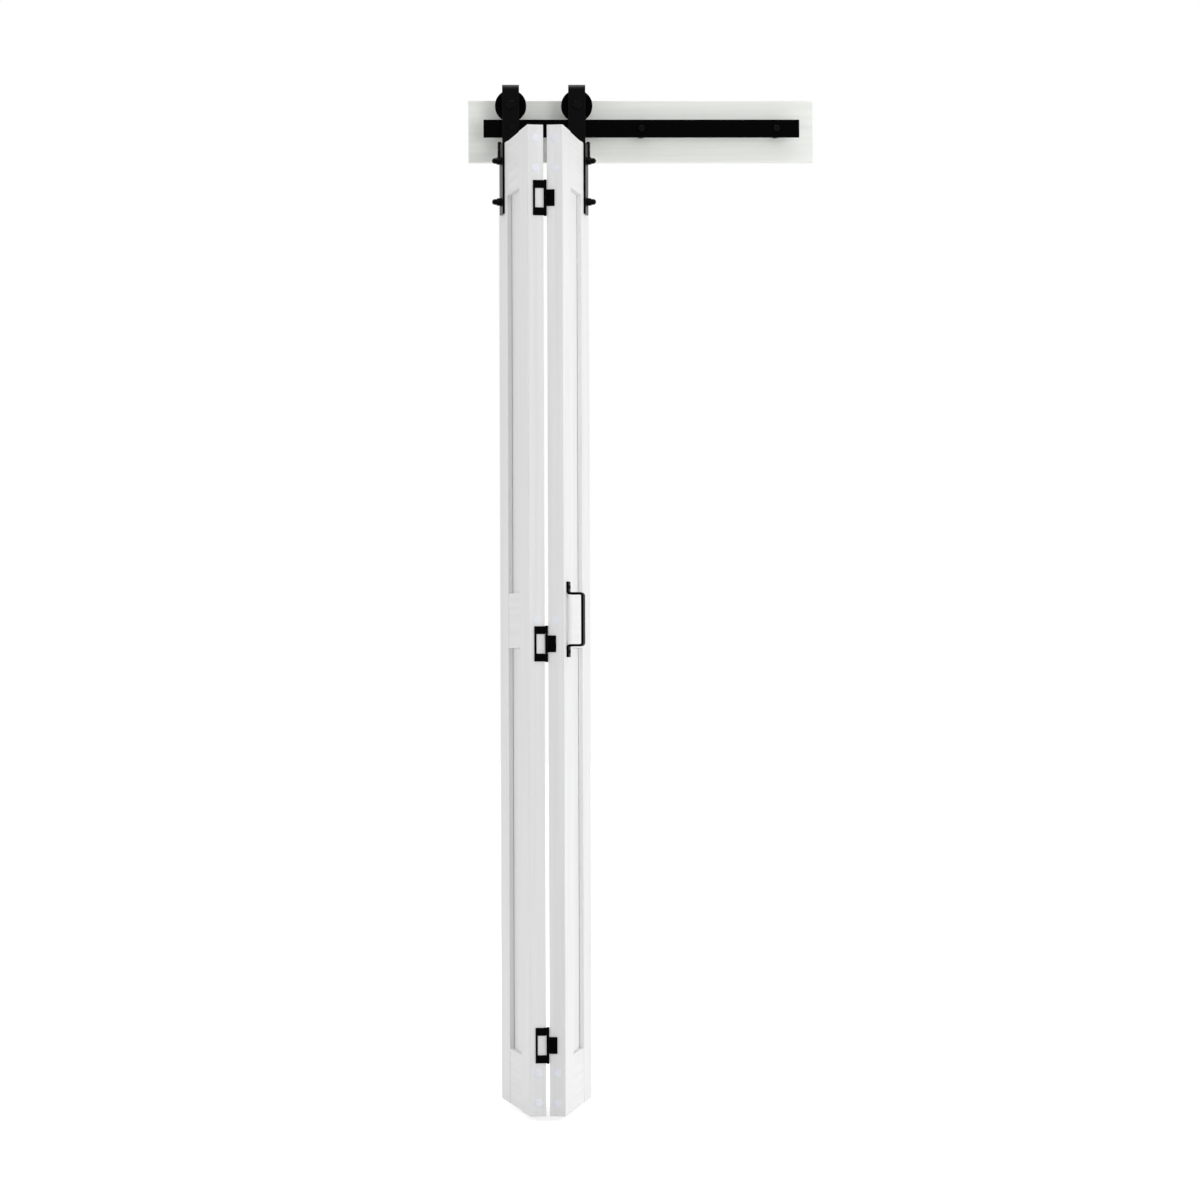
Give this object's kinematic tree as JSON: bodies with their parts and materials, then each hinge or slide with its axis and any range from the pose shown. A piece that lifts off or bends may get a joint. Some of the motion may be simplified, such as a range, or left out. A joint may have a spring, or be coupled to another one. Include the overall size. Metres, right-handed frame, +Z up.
{
  "type": "bi-fold barn door",
  "caption": "White framed bi-fold barn door on a black flat wall track: panels hinged edge to edge, hung from strap hangers with grooved wheels, folding to one side.",
  "frame": {"origin": "centre of the header board's back face, on the wall, midway between the outer lag bolts", "axes": "+X to the right as seen from the room, +Y into the wall along the lag bolts, +Z up"},
  "size_m": [0.78, 0.4277, 2.2722],
  "materials": {
    "door_paint": "satin white paint",
    "header_paint": "satin off-white paint",
    "black_steel": "black powder coat",
    "wheel_nylon": "moulded black nylon",
    "bearing_steel": "blackened steel",
    "zinc_steel": "zinc plated",
    "cap_plastic": "white plastic"
  },
  "bodies": {
    "wall_track": {"header_board": "header_paint", "track_rail": "black_steel", "track_spacers": "black_steel", "track_washers": "black_steel", "track_lag_bolts": "black_steel", "track_lock_bolt": "black_steel", "left_hanger_strap": "black_steel", "left_axle_bolt": "black_steel", "left_axle_nut": "black_steel", "left_axle_washers": "black_steel", "left_swivel_pin": "black_steel"},
    "fixed_wheel": {"left_wheel": "wheel_nylon", "left_wheel_bearing": "bearing_steel"},
    "left_panel": {"left_outer_stile": "door_paint", "left_hinge_stile": "door_paint", "left_top_rail": "door_paint", "left_middle_rail": "door_paint", "left_bottom_rail": "door_paint", "left_upper_infill": "door_paint", "left_lower_infill": "door_paint", "left_frame_bolts": "zinc_steel", "left_insert_nuts": "zinc_steel", "left_bolt_caps": "cap_plastic", "left_door_plate": "black_steel", "left_plate_bolts": "black_steel", "left_plate_washers": "black_steel", "left_plate_cap_nuts": "black_steel", "left_hinge_screws": "black_steel", "upper_hinge_outer_leaf": "black_steel", "middle_hinge_outer_leaf": "black_steel", "lower_hinge_outer_leaf": "black_steel", "hinge_pins": "black_steel"},
    "right_panel": {"right_outer_stile": "door_paint", "right_hinge_stile": "door_paint", "right_top_rail": "door_paint", "right_middle_rail": "door_paint", "right_bottom_rail": "door_paint", "right_upper_infill": "door_paint", "right_lower_infill": "door_paint", "right_frame_bolts": "zinc_steel", "right_insert_nuts": "zinc_steel", "right_bolt_caps": "cap_plastic", "right_door_plate": "black_steel", "right_plate_bolts": "black_steel", "right_plate_washers": "black_steel", "right_plate_cap_nuts": "black_steel", "right_hinge_screws": "black_steel", "upper_hinge_inner_leaf": "black_steel", "middle_hinge_inner_leaf": "black_steel", "lower_hinge_inner_leaf": "black_steel", "pull_handle": "black_steel", "handle_screws": "black_steel"},
    "rolling_hanger": {"right_hanger_strap": "black_steel", "right_axle_bolt": "black_steel", "right_axle_nut": "black_steel", "right_axle_washers": "black_steel", "right_swivel_pin": "black_steel"},
    "rolling_wheel": {"right_wheel": "wheel_nylon", "right_wheel_bearing": "bearing_steel"}
  },
  "joints": [
    {"name": "left_panel_swing", "type": "hinge", "parent": "wall_track", "child": "left_panel", "pos_m": [-0.319, -0.0768, -0.057], "axis": [0, 0, 1], "range_deg": [-6, 79.75]},
    {"name": "panel_fold", "type": "hinge", "parent": "left_panel", "child": "right_panel", "pos_m": [-0.21972, -0.38251, -1.107], "axis": [0, 0, 1], "range_deg": [-159.5, 12]},
    {"name": "rolling_hanger_swivel", "type": "hinge", "parent": "right_panel", "child": "rolling_hanger", "pos_m": [-0.12043, -0.0768, -0.057], "axis": [0, 0, 1], "range_deg": [-6, 79.75]},
    {"name": "fixed_wheel_spin", "type": "hinge", "parent": "wall_track", "child": "fixed_wheel", "pos_m": [-0.294, -0.06, 0.0512], "axis": [0, 1, 0], "continuous": true},
    {"name": "rolling_wheel_spin", "type": "hinge", "parent": "rolling_hanger", "child": "rolling_wheel", "pos_m": [-0.14543, -0.06, 0.0512], "axis": [0, 1, 0], "continuous": true}
  ],
  "couplings": [
    {"joint": "panel_fold", "follows": "left_panel_swing", "ratio": -2},
    {"joint": "rolling_hanger_swivel", "follows": "left_panel_swing", "ratio": 1}
  ]
}
